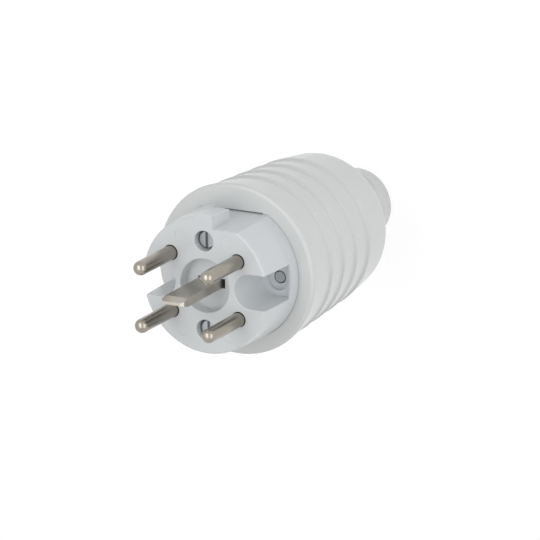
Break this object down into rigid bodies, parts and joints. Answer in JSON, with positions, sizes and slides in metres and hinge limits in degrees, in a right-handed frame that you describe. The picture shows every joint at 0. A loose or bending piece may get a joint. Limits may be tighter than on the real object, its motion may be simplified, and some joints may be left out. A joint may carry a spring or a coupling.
{
  "type": "three-phase plug",
  "caption": "Straight grey three-phase mains plug: round contact pins around a flat earth blade, keyed moulded insert, tapered grip housing with saw-tooth rings and an open cable neck.",
  "frame": {"origin": "centre of the end face of the cable neck, on which the plug stands", "axes": "+Z along the plug's axis from the neck to the pin tips, +Y to the key on the insert, +X to the side with the polarising notch"},
  "size_m": [0.061, 0.061, 0.1356],
  "materials": {
    "housing_plastic": "light grey moulded plastic, fine satin grain",
    "carrier_plastic": "light cool grey moulded plastic, smooth satin",
    "base_plastic": "mid grey moulded plastic, smooth satin",
    "nickel_plate": "nickel plated brass, satin",
    "terminal_brass": "plain brass",
    "zinc_steel": "bright zinc plated steel"
  },
  "bodies": {
    "root": {"housing": "housing_plastic", "contact_carrier": "carrier_plastic", "terminal_base": "base_plastic", "pin_l1": "nickel_plate", "pin_l2": "nickel_plate", "pin_l3": "nickel_plate", "pin_n": "nickel_plate", "earth_blade": "nickel_plate", "terminal_l1": "terminal_brass", "terminal_l2": "terminal_brass", "terminal_l3": "terminal_brass", "terminal_n": "terminal_brass", "terminal_earth": "terminal_brass", "terminal_screws": "zinc_steel", "front_screws": "zinc_steel", "front_screw_nuts": "zinc_steel", "cable_clamp_bridge": "base_plastic", "cable_clamp_screws": "zinc_steel", "cable_clamp_nuts": "zinc_steel"}
  },
  "joints": []
}
